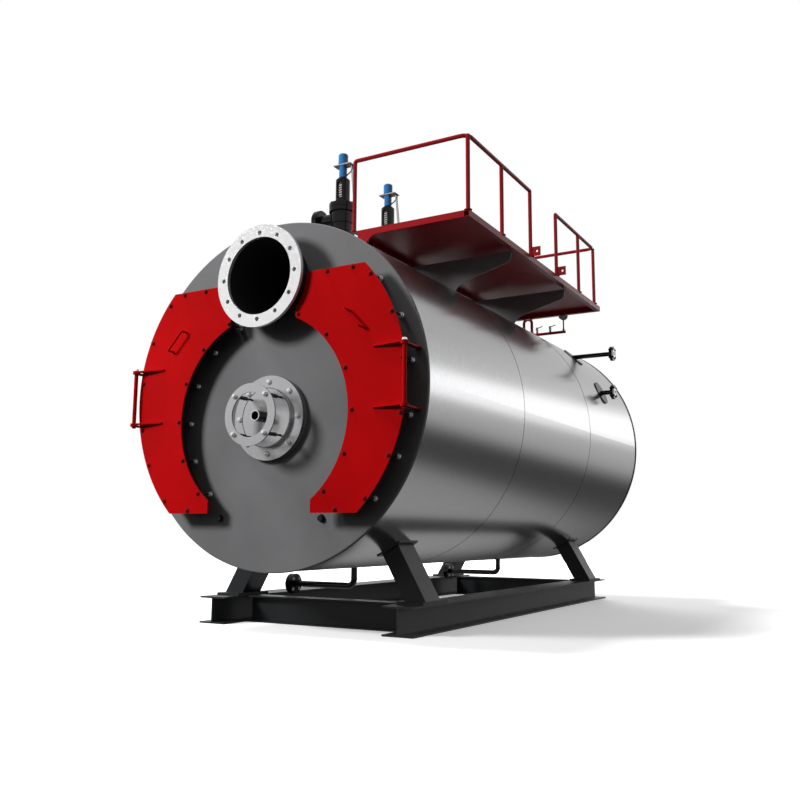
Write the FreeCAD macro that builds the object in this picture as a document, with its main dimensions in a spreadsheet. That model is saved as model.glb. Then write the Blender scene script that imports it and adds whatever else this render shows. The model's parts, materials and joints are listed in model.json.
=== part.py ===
"""Horizontal fire-tube boiler on a welded skid, with smoke-box doors and a service platform.

Frame: millimetres, +Z up. The origin is the middle of the front cross beam's underside, on the
ground. +Y runs along the barrel, from the flue end to the burner end.
Places along the barrel are measured along Y from the flue-end plate's face, and place() moves them
to the origin. "Rise" and "drop" are measured from the barrel's centre line.
"""
import FreeCAD, Part
import Sketcher
import math
import os
import re

DOCUMENT = FreeCAD.newDocument("industrial_boiler")
SHEET = DOCUMENT.addObject("Spreadsheet::Sheet", "sizes")
NODES = []

# Sizes that are set by themselves, one cell each.
SIZES = {
    # barrel
    "belly_height": 452, "jacket_radius": 1343, "jacket_wall": 100, "plate_overhang": 7,
    "plate_thickness": 24, "plate_rounding": 9, "barrel_length": 5433, "seam_front": 1788,
    "rear_course": 1806,
    # flue outlet
    "flue_bore_radius": 302, "flue_wall": 8, "flue_reach": 217, "flue_depth": 600,
    "flue_rim_gap": 71, "flue_flange_thickness": 28, "flue_hole_offset": 36, "flue_hole_edge": 61,
    "flue_hole_radius": 12, "flue_hole_count": 12,
    # smoke-box doors, both sides alike
    "door_margin": 93, "door_top_margin": 484, "door_bottom_margin": 441, "door_width": 471,
    "door_inner_edge": 312, "door_toe_edge": 478, "door_flue_clearance": 11,
    "door_standoff": 139, "door_plate": 12, "door_gap": 5,
    "frame_inset": 85, "frame_wall": 12,
    # door hinges
    "hinge_offset": 9, "hinge_proud": 39, "hinge_pin_radius": 16, "hinge_clearance": 0.08,
    "hinge_boss_wall": 13, "hinge_leaf": 12, "hinge_leaf_gap": 1, "hinge_leaf_back": 18,
    "hinge_top_rise": 240, "hinge_bottom_drop": 192, "hinge_pin_proud": 14, "hinge_arm_reach": 272,
    "hinge_arm_lip": 16, "hinge_arm_edge": 31,
    # door handles
    "handle_margin": 417, "handle_rise": 461, "handle_length": 200, "handle_standoff": 55,
    "handle_bar_radius": 8, "handle_tilt": 47,
    # explosion relief door in the middle of the flue-end plate
    "relief_drop": 190, "seat_bore": 188, "seat_thickness": 48, "seat_land": 95,
    "disc_overlap": 41, "disc_thickness": 28, "guard_thickness": 12, "guard_reach": 268,
    "guard_rim": 32, "guard_inner_rim": 34, "rod_inset": 27, "rod_radius": 8, "rod_clearance": 2,
    "sleeve_radius": 15, "sleeve_length": 120, "peep_radius": 41, "peep_bore": 35,
    "peep_reach": 201,
    # skid
    "beam_out": 882, "beam_flange": 264, "beam_height": 218, "beam_web": 12, "beam_cap": 14,
    "beam_front": 397, "beam_rear_gap": 341, "cross_width": 150, "cross_front": 762,
    "cross_rear_gap": 711,
    # legs
    "leg_tilt": 29.8, "leg_width": 184, "leg_depth": 240, "leg_wall": 12, "leg_front": 787,
    "leg_rear_gap": 688, "foot_thickness": 20, "foot_margin": 25, "foot_reach": 80,
    "collar_thickness": 8, "collar_margin": 30,
    # blow-down pipes under the barrel
    "drain_front": 1186, "drain_rear_gap": 1165, "drain_drop": 156, "drain_radius": 27,
    "drain_wall": 4, "drain_reach": 668, "drain_flange_thickness": 56, "drain_bend": 60,
    "drain_hole_offset": 36, "drain_hole_edge": 24,
    # level-gauge pipes on the right side
    "level_rear_gap": 1013, "level_drop": 360, "level_spacing": 442, "level_overhang": 47,
    "level_radius": 25, "level_wall": 4, "level_flange_thickness": 34, "level_hole_offset": 37,
    "level_hole_edge": 20, "rosette_radius": 136, "rosette_thickness": 8,
    # what the small flanges share
    "small_hole_radius": 9, "groove_width": 5, "groove_depth": 8,
    # service platform
    "deck_rise": 197, "deck_inner": 126, "deck_outer": 1256, "deck_front": 870,
    "deck_rear_gap": 1048, "deck_plate": 5, "deck_beam": 50, "deck_beam_wall": 4, "deck_lip": 284,
    "gusset_front_offset": 993, "gusset_rear_offset": 1087, "gusset_plate": 10, "gusset_cap": 60,
    "gusset_setback": 53, "gusset_nose": 94, "gusset_nose_round": 60, "gusset_slope": 15.2,
    "gusset_root": 617, "gusset_curve": 180,
    "shoe_plate": 12, "shoe_inner": 190, "shoe_leg": 72, "shoe_curve": 140,
    # railing
    "rail_height": 650, "rail_radius": 18, "rail_bend": 70, "rail_inner_bend": 22,
    "post_second_offset": 711, "post_third_offset": 1394, "ladder_gap": 712,
    "post_fifth_share": 0.565, "rear_rail_setback": 159,
    "lug_width": 99, "lug_height": 90, "lug_plate": 8, "lug_hole": 11, "lug_edge": 34,
    "lug_base": 34, "lug_base_plate": 6,
    # safety valves on the barrel's crown
    "valve_front": 1000, "valve_spacing": 796, "valve_out": 58, "valve_nozzle_radius": 50,
    "valve_nozzle_length": 200, "valve_flange_radius": 112, "valve_flange_thickness": 26,
    "valve_gasket": 3, "valve_waist_radius": 96, "valve_waist_length": 80,
    "valve_bowl_radius": 104, "valve_bowl_length": 107, "valve_band_radius": 120,
    "valve_band_thickness": 38, "valve_bonnet_radius": 64, "valve_bonnet_length": 228,
    "valve_chamfer": 28, "valve_bonnet_wall": 12, "window_rise": 52, "window_height": 143,
    "window_width": 54, "valve_neck_radius": 36, "valve_neck_length": 124,
    "valve_cap_radius": 44, "valve_cap_length": 100, "valve_cap_round": 20,
    "outlet_rise": 125, "outlet_radius": 70, "outlet_bore": 56, "outlet_reach": 257,
    "outlet_flange_radius": 120, "outlet_flange_thickness": 21,
    # lifting gear on each safety valve
    "fork_tail": 78, "fork_width": 92, "fork_plate": 10, "fork_drop": 8, "lever_out": 92,
    "lever_bar": 22, "lever_plate": 8, "lever_length": 346, "lever_lean": 5.5,
    "lever_pin_radius": 9, "lever_pin_length": 46,
    # instrument pipe behind the platform
    "header_offset": 55, "header_drop": 37, "header_root": 300, "header_neck": 100,
    "header_top_drop": 37, "header_end": 818, "header_radius": 17, "header_wall": 4,
    "header_bend": 46, "stub_radius": 12, "stub_length": 37, "stub_first": 467, "stub_second": 631,
    "gauge_out": 796, "gauge_drop": 41, "gauge_radius": 50, "gauge_thickness": 38,
    "siphon_radius": 8,
    # burner opening in the far end
    "burner_drop": 190, "burner_ring_radius": 430, "burner_ring_thickness": 40,
    "burner_cover_inset": 45, "burner_cover_thickness": 20,
}

# Sizes that follow from others, so that what fits together stays together.
DERIVED = {
    "axis_height": "belly_height + jacket_radius",
    "crown_height": "axis_height + jacket_radius",
    "plate_radius": "jacket_radius + plate_overhang",
    "seam_rear": "barrel_length - rear_course",
    "flue_hole_circle": "flue_bore_radius + flue_hole_offset",
    "flue_flange_radius": "flue_hole_circle + flue_hole_edge",
    "flue_rise": "plate_radius - flue_rim_gap - flue_flange_radius",
    "door_radius": "plate_radius - door_margin",
    "door_top_rise": "plate_radius - door_top_margin",
    "door_bottom_drop": "plate_radius - door_bottom_margin",
    "door_arc_radius": "door_radius - door_width",
    "hinge_out": "door_radius + hinge_offset",
    "hinge_front": "door_standoff + door_plate + hinge_proud",
    "hinge_boss_radius": "hinge_pin_radius + hinge_boss_wall",
    "handle_out": "door_radius - handle_margin",
    "disc_radius": "seat_bore + disc_overlap",
    "seat_radius": "disc_radius + seat_land",
    "rod_circle": "disc_radius - rod_inset",
    "guard_radius": "rod_circle + guard_rim",
    "guard_bore": "rod_circle - guard_inner_rim",
    "beam_rear": "barrel_length - beam_rear_gap",
    "cross_rear": "barrel_length - cross_rear_gap",
    "leg_rear": "barrel_length - leg_rear_gap",
    "leg_foot": "beam_height + foot_thickness",
    "leg_drop": "axis_height - leg_foot",
    "leg_swing": "beam_out * sin(leg_tilt) + leg_drop * cos(leg_tilt)",
    "leg_run": "leg_swing - sqrt(leg_swing ^ 2 - beam_out ^ 2 - leg_drop ^ 2 + jacket_radius ^ 2)",
    "leg_contact": "beam_out - leg_run * sin(leg_tilt)",
    "leg_head": "leg_foot + leg_run * cos(leg_tilt) + leg_width",
    "leg_lean": "(leg_head - leg_foot) * tan(leg_tilt)",
    "drain_rear": "barrel_length - drain_rear_gap",
    "drain_height": "belly_height - drain_drop",
    "drain_hole_circle": "drain_radius + drain_hole_offset",
    "drain_flange_radius": "drain_hole_circle + drain_hole_edge",
    "level_along": "barrel_length - level_rear_gap",
    "level_upper": "crown_height - level_drop",
    "level_lower": "level_upper - level_spacing",
    "level_reach": "jacket_radius + level_overhang",
    "level_hole_circle": "level_radius + level_hole_offset",
    "level_flange_radius": "level_hole_circle + level_hole_edge",
    "deck_height": "crown_height + deck_rise",
    "deck_rear": "barrel_length - deck_rear_gap",
    "deck_low": "deck_height - deck_plate - deck_beam",
    "gusset_front": "deck_front + gusset_front_offset",
    "gusset_rear": "deck_rear - gusset_rear_offset",
    "gusset_outer": "deck_outer - gusset_setback",
    "gusset_nose_height": "deck_low - gusset_nose",
    "gusset_root_height": "gusset_nose_height - (gusset_outer - gusset_root) * tan(gusset_slope)",
    "rail_out": "deck_outer - rail_radius",
    "rail_in": "deck_inner + rail_radius",
    "rail_top": "deck_height + rail_height",
    "post_first": "deck_front + rail_radius",
    "post_second": "deck_front + post_second_offset",
    "post_third": "deck_front + post_third_offset",
    "post_fourth": "post_third + ladder_gap",
    "post_last": "deck_rear - rear_rail_setback",
    "post_fifth": "post_fourth + post_fifth_share * (post_last - post_fourth)",
    "valve_rear": "valve_front + valve_spacing",
    "valve_seat_height": "crown_height + valve_nozzle_length",
    "valve_body_foot": "valve_seat_height + 2 * valve_flange_thickness + valve_gasket",
    "outlet_height": "valve_body_foot + outlet_rise",
    "valve_band_foot": "valve_body_foot + valve_waist_length + valve_bowl_length",
    "valve_bonnet_foot": "valve_band_foot + 2 * valve_band_thickness + valve_gasket",
    "valve_bonnet_top": "valve_bonnet_foot + valve_bonnet_length + valve_chamfer",
    "valve_cap_foot": "valve_bonnet_top + valve_neck_length",
    "header_along": "deck_rear + header_offset",
    "header_height": "crown_height - header_drop",
    "header_top": "deck_height - header_top_drop",
    "header_drop_out": "header_root + header_neck",
    "gauge_height": "deck_height - gauge_drop",
}

for row, (alias, size) in enumerate(SIZES.items(), start=1):
    SHEET.set(f"A{row}", alias)
    SHEET.set(f"B{row}", str(size))
    SHEET.setAlias(f"B{row}", alias)
DOCUMENT.recompute()


# ---------- how pieces are made ----------

def bound(text):
    """The expression with derived sizes worked out and each size's name pointing at the sheet."""
    def swap(found):
        name = found.group(0)
        return f"({bound(DERIVED[name])})" if name in DERIVED else "sizes." + name
    return re.sub(r"[a-z]+(?:_[a-z]+)+", swap, str(text))


def value(text):
    """The number that an expression has, for the few shapes that are computed here."""
    return float(SHEET.evalExpression(bound(text)))


def bind(thing, **expressions):
    for name, text in expressions.items():
        thing.setExpression(name, bound(text))
    return thing


def place(thing, at, turn=None):
    """Puts a thing at three expressions, turned by a fixed rotation. Y counts from the end plate."""
    if turn is not None:
        thing.Placement = FreeCAD.Placement(FreeCAD.Vector(), turn)
    across, along, up = at
    for axis, text in zip("xyz", (across, f"{along} - cross_front", up)):
        thing.setExpression(f"Placement.Base.{axis}", bound(text))
    return thing


def feature(name, shape):
    """A computed shape, with Y counted from the end plate, as an object of the document."""
    thing = DOCUMENT.addObject("Part::Feature", name)
    thing.Shape = shape
    thing.Placement = FreeCAD.Placement(FreeCAD.Vector(0, -value("cross_front"), 0), FreeCAD.Rotation())
    return thing


def turned(axis, degrees):
    return FreeCAD.Rotation(FreeCAD.Vector(*axis), degrees)


ALONG = {"x": turned((0, 1, 0), 90), "-x": turned((0, 1, 0), -90), "y": turned((1, 0, 0), -90),
         "-y": turned((1, 0, 0), 90), "z": turned((0, 0, 1), 0)}
UPRIGHT_XZ = turned((1, 0, 0), 90)      # sketch x -> X, sketch y -> Z, pad towards -Y
SIDES = (("right", 1), ("left", -1))


def box(name, size, at, turn=None):
    thing = DOCUMENT.addObject("Part::Box", name)
    bind(thing, Length=size[0], Width=size[1], Height=size[2])
    return place(thing, at, turn)


def cylinder(name, radius, length, at, along="z"):
    thing = DOCUMENT.addObject("Part::Cylinder", name)
    bind(thing, Radius=radius, Height=length)
    return place(thing, at, ALONG[along])


def cone(name, foot_radius, head_radius, length, at):
    thing = DOCUMENT.addObject("Part::Cone", name)
    bind(thing, Radius1=foot_radius, Radius2=head_radius, Height=length)
    return place(thing, at)


def cut(name, base, *tools):
    """The base with each tool taken out of it, one after another."""
    for number, tool in enumerate(tools):
        thing = DOCUMENT.addObject("Part::Cut", name if number == len(tools) - 1 else f"{name}_{number}")
        thing.Base, thing.Tool = base, tool
        base = thing
    return base


def fuse(name, *pieces):
    thing = DOCUMENT.addObject("Part::MultiFuse", name)
    thing.Shapes = list(pieces)
    thing.Refine = True
    return thing


def overlap(name, first, second):
    thing = DOCUMENT.addObject("Part::Common", name)
    thing.Base, thing.Tool = first, second
    return thing


def group(name, *pieces):
    """Solids that don't touch, kept in one node."""
    thing = DOCUMENT.addObject("Part::Compound", name)
    thing.Links = list(pieces)
    return thing


def node(thing, label):
    thing.Label = label
    NODES.append(thing)
    return thing


def tube(name, outer, inner, length, at, along="z"):
    """A straight pipe or ring, its bore open at both ends."""
    return cut(name, cylinder(name + "_outside", outer, length, at, along),
               cylinder(name + "_bore", inner, length, at, along))


def round_rim(name, disc, along, at, radius):
    """A disc with the rim of one of its faces rounded, the face at a distance along an axis."""
    DOCUMENT.recompute()
    thing = DOCUMENT.addObject("Part::Fillet", name)
    thing.Base = disc
    edge = next(number for number, rim in enumerate(disc.Shape.Edges, start=1)
                if isinstance(rim.Curve, Part.Circle) and abs(getattr(rim.Curve.Center, along) - at) < 0.01)
    thing.Edges = [(edge, radius, radius)]
    return thing


def drilled_ring(name, outer, bore, thickness, hole_circle, hole_radius, holes, at, along, start=0):
    """A flange made as a body: a padded ring, one drilled hole and its polar pattern."""
    body = DOCUMENT.addObject("PartDesign::Body", name)
    flat = next(f for f in body.Origin.OriginFeatures if f.Role == "XY_Plane")
    turn_axis = next(f for f in body.Origin.OriginFeatures if f.Role == "Z_Axis")
    pad = body.newObject("PartDesign::Pad", name + "_pad")
    pad.Profile = sketch(body, flat, name + "_ring", [("0", outer), ("0", bore)])
    pad.setExpression("Length", bound(thickness))
    DOCUMENT.recompute()
    hole = sketch(body, flat, name + "_hole", [(hole_circle, hole_radius)])
    pocket = body.newObject("PartDesign::Pocket", name + "_pocket")
    pocket.Profile = hole
    pocket.Reversed = True
    pocket.setExpression("Length", bound(thickness))
    DOCUMENT.recompute()
    pattern = body.newObject("PartDesign::PolarPattern", name + "_pattern")
    pattern.Originals = [pocket]
    pattern.Axis = (turn_axis, [""])
    pattern.Angle = 360
    pattern.setExpression("Occurrences", bound(holes))
    body.Tip = pattern
    return place(body, at, ALONG[along].multiply(turned((0, 0, 1), start)))


def sketch(body, flat, name, circles):
    """Circles on the sketch's own horizontal axis, each with its distance out and its radius."""
    drawing = body.newObject("Sketcher::SketchObject", name)
    drawing.AttachmentSupport = (flat, [""])
    drawing.MapMode = "FlatFace"
    for number, (out, radius) in enumerate(circles):
        centre = FreeCAD.Vector(0 if out == "0" else 50 * (number + 1), 0, 0)
        drawing.addGeometry(Part.Circle(centre, FreeCAD.Vector(0, 0, 1), 20 + number), False)
        if out == "0":
            drawing.addConstraint(Sketcher.Constraint("Coincident", number, 3, -1, 1))
        else:
            drawing.addConstraint(Sketcher.Constraint("PointOnObject", number, 3, -1))
            drawing.addConstraint(Sketcher.Constraint("DistanceX", -1, 1, number, 3, centre.x))
            drawing.renameConstraint(drawing.ConstraintCount - 1, f"out_{number}")
            drawing.setExpression(f"Constraints.out_{number}", bound(out))
        drawing.addConstraint(Sketcher.Constraint("Radius", number, 20 + number))
        drawing.renameConstraint(drawing.ConstraintCount - 1, f"radius_{number}")
        drawing.setExpression(f"Constraints.radius_{number}", bound(radius))
    return drawing


def padded_outline(name, corners, length, at, turn=None, rounds=()):
    """A straight-sided section as a body: each corner's two distances are bound to the sheet.
    rounds lists corners to fillet, each by its number and radius."""
    body = DOCUMENT.addObject("PartDesign::Body", name)
    flat = next(f for f in body.Origin.OriginFeatures if f.Role == "XY_Plane")
    drawing = body.newObject("Sketcher::SketchObject", name + "_section")
    drawing.AttachmentSupport = (flat, [""])
    drawing.MapMode = "FlatFace"
    spots = [FreeCAD.Vector(*[value(text) for text in corner], 0) for corner in corners]
    for number, spot in enumerate(spots):
        drawing.addGeometry(Part.LineSegment(spot, spots[(number + 1) % len(spots)]), False)
    for number, spot in enumerate(spots):
        drawing.addConstraint(Sketcher.Constraint("Coincident", number, 2, (number + 1) % len(spots), 1))
    for number, (corner, spot) in enumerate(zip(corners, spots)):
        for axis, text, size in zip("XY", corner, (spot.x, spot.y)):
            drawing.addConstraint(Sketcher.Constraint("Distance" + axis, -1, 1, number, 1, size))
            drawing.renameConstraint(drawing.ConstraintCount - 1, f"corner_{number}_{axis}")
            drawing.setExpression(f"Constraints.corner_{number}_{axis}", bound(text))
    tip = body.newObject("PartDesign::Pad", name + "_pad")
    tip.Profile = drawing
    tip.setExpression("Length", bound(length))
    for number, radius in rounds:
        DOCUMENT.recompute()
        fillet = body.newObject("PartDesign::Fillet", f"{name}_round_{number}")
        fillet.Base = (tip, [f"Edge{upright_edge(tip.Shape, spots[number])}"])
        fillet.setExpression("Radius", bound(radius))
        tip = fillet
    return place(body, at, turn)


def upright_edge(shape, spot):
    """The number of the edge that the pad drew out of one corner of its section."""
    return next(number for number, edge in enumerate(shape.Edges, start=1)
                if all(math.hypot(v.X - spot.x, v.Y - spot.y) < 0.01 for v in edge.Vertexes))


def rounded_path(corners, bend):
    """Straight runs joined by tangent arcs of one radius."""
    edges, start = [], corners[0]
    for before, corner, after in zip(corners, corners[1:], corners[2:]):
        back = (before - corner).normalize()
        on = (after - corner).normalize()
        half_turn = (math.pi - back.getAngle(on)) / 2
        trim = bend * math.tan(half_turn)
        first, last = corner + back * trim, corner + on * trim
        inward = (back + on).normalize()
        centre = corner + inward * (bend / math.cos(half_turn))
        edges.append(Part.LineSegment(start, first).toShape())
        edges.append(Part.Arc(first, centre - inward * bend, last).toShape())
        start = last
    edges.append(Part.LineSegment(start, corners[-1]).toShape())
    return Part.Wire(edges)


def bar(corners, radius, bend):
    """A round bar along straight runs and tangent arcs, its section square to the first run."""
    section = Part.Wire([Part.Edge(Part.Circle(corners[0], corners[1] - corners[0], radius))])
    return rounded_path(corners, bend).makePipeShell([section], True, True)


# ---------- barrel ----------

def make_barrel():
    """The insulated shell in three courses, with a plate on each end."""
    courses = (("jacket_front", "plate_thickness", "seam_front"),
               ("jacket_middle", "seam_front", "seam_rear"),
               ("jacket_rear", "seam_rear", "barrel_length - plate_thickness"))
    for label, start, end in courses:
        node(tube(label, "jacket_radius", "jacket_radius - jacket_wall", f"{end} - ({start})",
                  ("0", start, "axis_height"), "y"), label)
    rounding = value("plate_rounding")
    front = cylinder("flue_end_disc", "plate_radius", "plate_thickness", ("0", "0", "axis_height"), "y")
    hole = cylinder("flue_end_hole", "flue_bore_radius + flue_wall", "plate_thickness",
                    ("0", "0", "axis_height + flue_rise"), "y")
    front_rounded = round_rim("flue_end_rounded", front, "y", value("-cross_front"), rounding)
    node(cut("flue_end_plate", front_rounded, hole), "flue_end_plate")
    rear = cylinder("burner_end_disc", "plate_radius", "plate_thickness",
                    ("0", "barrel_length - plate_thickness", "axis_height"), "y")
    node(round_rim("burner_end_plate", rear, "y", value("barrel_length - cross_front"), rounding),
         "burner_end_plate")


def make_burner_opening():
    """The burner's mounting ring on the far end, closed with a blank cover."""
    centre = "axis_height - burner_drop"
    node(fuse("burner_opening_cover",
              cylinder("burner_ring", "burner_ring_radius", "burner_ring_thickness",
                       ("0", "barrel_length", centre), "y"),
              cylinder("burner_cover", "burner_ring_radius - burner_cover_inset",
                       "burner_cover_thickness",
                       ("0", "barrel_length + burner_ring_thickness", centre), "y")),
         "burner_opening_cover")


# ---------- flue outlet ----------

def make_flue():
    """A short duct through the end plate, closed inside the smoke chamber, and its drilled flange."""
    centre = "axis_height + flue_rise"
    reach = "flue_reach - flue_flange_thickness"
    duct = cylinder("flue_duct_outside", "flue_bore_radius + flue_wall", f"{reach} + flue_depth",
                    ("0", f"-({reach})", centre), "y")
    bore = cylinder("flue_duct_bore", "flue_bore_radius", f"{reach} + flue_depth - flue_wall",
                    ("0", f"-({reach})", centre), "y")
    node(cut("flue_duct", duct, bore), "flue_duct")
    node(drilled_ring("flue_flange", "flue_flange_radius", "flue_bore_radius", "flue_flange_thickness",
                      "flue_hole_circle", "flue_hole_radius", "flue_hole_count",
                      ("0", "-flue_reach", centre), "y"), "flue_flange")


# ---------- smoke-box doors ----------

def door_outline(name, side, inset, depth, back):
    """A crescent: an arc outside, a straight top and foot, an arc round the relief door, and a
    notch round the flue flange. inset draws every edge in by the same amount."""
    wide = "door_radius + door_inner_edge"
    edge = f"door_inner_edge + {inset}"
    disc = cylinder(name + "_disc", f"door_radius - ({inset})", depth, ("0", back, "axis_height"), "-y")
    bottom = f"axis_height - door_bottom_drop + {inset}"
    start = edge if side > 0 else f"-({edge} + {wide})"
    band = box(name + "_band", (wide, depth, f"door_top_rise + door_bottom_drop - 2 * ({inset})"),
               (start, f"{back} - ({depth})", bottom))
    toe = f"door_toe_edge + {inset}"
    tools = [
        cylinder(name + "_inner_arc", f"door_arc_radius + {inset}", depth,
                 ("0", back, "axis_height - relief_drop"), "-y"),
        cylinder(name + "_notch", f"flue_flange_radius + door_flue_clearance + {inset}", depth,
                 ("0", back, "axis_height + flue_rise"), "-y"),
        box(name + "_toe", (toe, depth, f"door_bottom_drop - relief_drop - ({inset})"),
            ("0" if side > 0 else f"-({toe})", f"{back} - ({depth})", bottom)),
    ]
    return cut(name, overlap(name + "_crescent", disc, band), *tools)


def hinge_arm(name, side, low):
    """A plate across the door's face that ends in a bored eye round the hinge pin."""
    face = "-(door_standoff + door_plate)"
    front = "-(hinge_front + hinge_pin_radius)"
    start = "hinge_out - hinge_arm_reach"
    corners = [(start, face), (start, f"{face} - hinge_arm_lip"),
               ("hinge_out - hinge_boss_radius", front), ("hinge_out", "-(hinge_front)"),
               ("door_radius - hinge_arm_edge", face)]
    corners = [(f"{side} * ({across})", along) for across, along in corners]
    web = padded_outline(name + "_web", corners, "hinge_leaf", ("0", "0", low))
    eye = cylinder(name + "_eye", "hinge_boss_radius", "hinge_leaf",
                   (f"{side} * (hinge_out)", "-(hinge_front)", low))
    bore = cylinder(name + "_bore", "hinge_pin_radius + hinge_clearance", "hinge_leaf",
                    (f"{side} * (hinge_out)", "-(hinge_front)", low))
    return cut(name, fuse(name + "_solid", web, eye), bore)


def hinge_bracket(name, side, low):
    """A leaf from the end plate's rim out to the hinge pin, clear of the door's edge."""
    inner = "hinge_leaf_back" if side > 0 else "hinge_boss_radius"
    leaf = box(name + "_leaf", ("hinge_leaf_back + hinge_boss_radius", "hinge_front", "hinge_leaf"),
               (f"{side} * (hinge_out) - ({inner})", "-(hinge_front)", low))
    eye = cylinder(name + "_eye", "hinge_boss_radius", "hinge_leaf",
                   (f"{side} * (hinge_out)", "-(hinge_front)", low))
    return fuse(name, leaf, eye)


def make_doors():
    """Each side has a box frame welded to the plate, a door on two arms, and a fixed pin."""
    top_arm = "axis_height + hinge_top_rise"
    bottom_arm = "axis_height - hinge_bottom_drop"
    step = "hinge_leaf + hinge_leaf_gap"
    for label, side in SIDES:
        frame = cut(f"smoke_box_frame_{label}",
                    door_outline(f"frame_outside_{label}", side, "frame_inset",
                                 "door_standoff - door_gap", "0"),
                    door_outline(f"frame_inside_{label}", side, "frame_inset + frame_wall",
                                 "door_standoff - door_gap", "0"))
        node(frame, f"smoke_box_frame_{label}")
        panel = door_outline(f"door_panel_{label}", side, "0", "door_plate", "-door_standoff")
        door = fuse(f"smoke_box_door_{label}", panel,
                    hinge_arm(f"top_arm_{label}", side, top_arm),
                    hinge_arm(f"bottom_arm_{label}", side, bottom_arm))
        node(door, f"smoke_box_door_{label}")
        pin_foot = f"{bottom_arm} - ({step}) - hinge_pin_proud"
        pin = cylinder(f"hinge_pin_{label}", "hinge_pin_radius",
                       f"hinge_top_rise + hinge_bottom_drop + {step} + 2 * hinge_pin_proud",
                       (f"{side} * (hinge_out)", "-(hinge_front)", pin_foot))
        node(fuse(f"door_hinge_{label}", pin,
                  hinge_bracket(f"top_bracket_{label}", side, f"{top_arm} - ({step})"),
                  hinge_bracket(f"bottom_bracket_{label}", side, f"{bottom_arm} - ({step})")),
             f"door_hinge_{label}")
        node(door_handle(f"door_handle_{label}", side), f"door_handle_{label}")


def door_handle(name, side):
    """A bent bar: two legs standing on the door and a grip across them, with mitred corners."""
    half = value("handle_length") / 2
    stand = value("handle_standoff")
    lean = math.radians(value("handle_tilt"))
    across = FreeCAD.Vector(-side * math.cos(lean), 0, math.sin(lean))
    out = FreeCAD.Vector(0, -1, 0)
    middle = FreeCAD.Vector(side * value("handle_out"), -value("door_standoff + door_plate"),
                            value("axis_height + handle_rise"))
    foot_low, foot_high = middle - across * half, middle + across * half
    corners = [foot_low, foot_low + out * stand, foot_high + out * stand, foot_high]
    radius = value("handle_bar_radius")
    return feature(name, bar(corners, radius, 2 * radius))


# ---------- explosion relief door ----------

def make_relief_door():
    """A bolted seat, a disc that lifts off it along four rods, and the guard ring on their ends."""
    centre = "axis_height - relief_drop"
    node(tube("relief_seat", "seat_radius", "seat_bore", "seat_thickness",
              ("0", "-seat_thickness", centre), "y"), "relief_seat")
    disc_face = "seat_thickness + disc_thickness"
    spot = ("rod_circle * sqrt(0.5)", "-rod_circle * sqrt(0.5)")
    places = [(across, f"{centre} + {up}") for across in spot for up in spot]
    disc = cylinder("relief_disc_blank", "disc_radius", "disc_thickness",
                    ("0", f"-({disc_face})", centre), "y")
    holes = [cylinder(f"relief_disc_hole_{n}", "rod_radius + rod_clearance", "disc_thickness",
                      (across, f"-({disc_face})", up), "y") for n, (across, up) in enumerate(places)]
    node(cut("relief_disc", disc, *holes), "relief_disc")
    node(tube("peep_tube", "peep_radius", "peep_bore", f"peep_reach - ({disc_face})",
              ("0", "-peep_reach", centre), "y"), "peep_tube")
    node(tube("relief_guard_ring", "guard_radius", "guard_bore", "guard_thickness",
              ("0", "-guard_reach", centre), "y"), "relief_guard_ring")
    rods = []
    for n, (across, up) in enumerate(places):
        rod = cylinder(f"relief_rod_{n}", "rod_radius", "guard_reach - guard_thickness - seat_thickness",
                       (across, "-(guard_reach - guard_thickness)", up), "y")
        sleeve = cylinder(f"relief_sleeve_{n}", "sleeve_radius", "sleeve_length",
                          (across, "-(guard_reach - guard_thickness)", up), "y")
        rods.append(fuse(f"relief_rod_and_sleeve_{n}", rod, sleeve))
    node(group("relief_guide_rods", *rods), "relief_guide_rods")


# ---------- skid and legs ----------

def i_section(width):
    """Corners of an I-beam section, from its foot's left end, anticlockwise, foot at zero."""
    half, web = f"{width} / 2", "beam_web / 2"
    cap, top = "beam_cap", "beam_height"
    return [(f"-{half}", "0"), (half, "0"), (half, cap), (web, cap), (web, f"{top} - {cap}"),
            (half, f"{top} - {cap}"), (half, top), (f"-{half}", top), (f"-{half}", f"{top} - {cap}"),
            (f"-{web}", f"{top} - {cap}"), (f"-{web}", cap), (f"-{half}", cap)]


def make_skid():
    """Two long I-beams, and two across between the edges of their flanges."""
    for label, side in SIDES:
        node(padded_outline(f"skid_beam_{label}", i_section("beam_flange"), "beam_rear - beam_front",
                            (f"{side} * beam_out", "beam_rear", "0"), UPRIGHT_XZ), f"skid_beam_{label}")
    span = "2 * beam_out - beam_flange"
    towards_x = turned((0, 0, 1), 90).multiply(UPRIGHT_XZ)
    for label, along in (("front", "cross_front"), ("rear", "cross_rear")):
        node(padded_outline(f"cross_beam_{label}", i_section("cross_width"), span,
                            (f"-({span}) / 2", along, "0"), towards_x), f"cross_beam_{label}")


def leg_outline(inset):
    """A leaning strip in the XZ plane, inset from its two long sides, from its foot plate up into
    the barrel."""
    outside, inside = f"beam_out + leg_width / 2 - {inset}", f"beam_out - leg_width / 2 + {inset}"
    return [(outside, "leg_foot"), (f"{outside} - leg_lean", "leg_head"),
            (f"{inside} - leg_lean", "leg_head"), (inside, "leg_foot")]


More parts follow.
